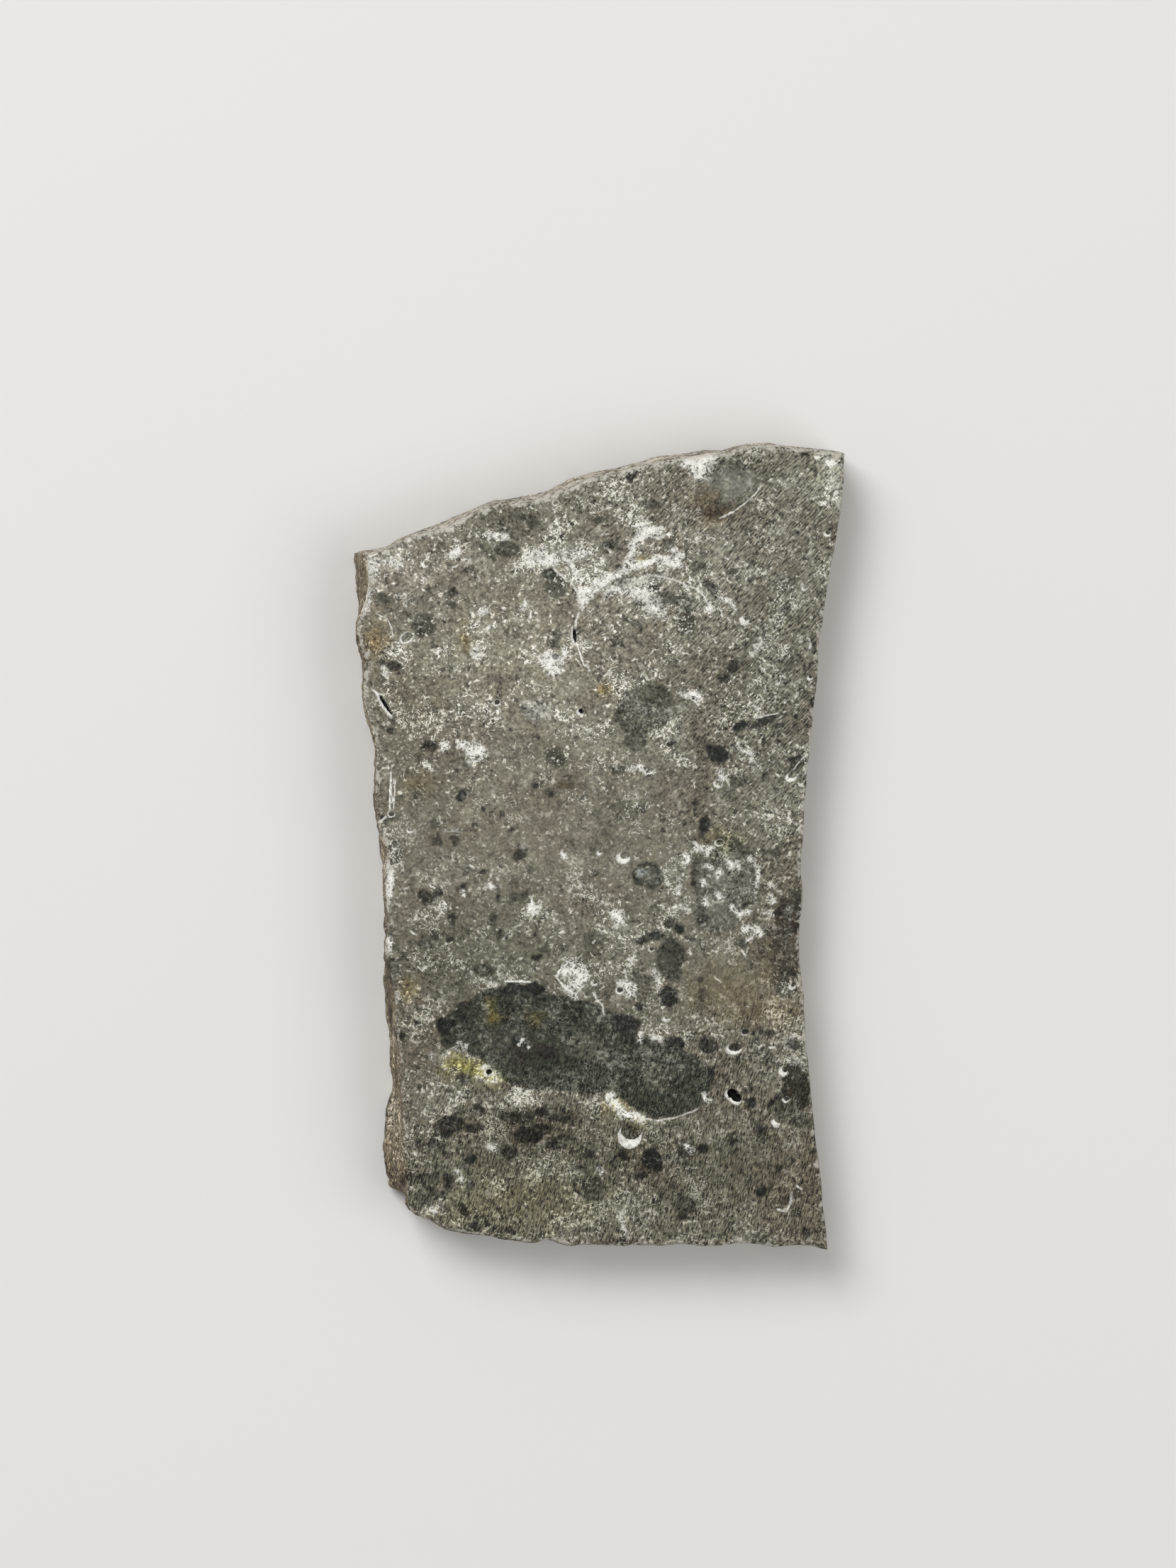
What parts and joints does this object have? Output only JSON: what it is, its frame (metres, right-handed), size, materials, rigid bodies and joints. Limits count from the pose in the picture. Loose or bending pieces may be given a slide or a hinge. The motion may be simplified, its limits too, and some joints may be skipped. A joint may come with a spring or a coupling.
{
  "type": "lunar meteorite slice",
  "caption": "Thin sawn slice of dark grey lunar breccia with welded rock fragments and small bubbles; a loose specimen that lies flat on its sawn back.",
  "frame": {"origin": "middle of the footprint's bounding box, on the surface that the slice rests on", "axes": "+Z out of the sawn front face, +Y along the long way towards the wide high end, +X to the right as the front face is read"},
  "size_m": [0.0156, 0.0258, 0.0022],
  "materials": {
    "stone": "lapped dull grey breccia with white crushed feldspar, rough on its broken sides"
  },
  "bodies": {
    "root": {"meteorite_slice": "stone"}
  },
  "joints": []
}
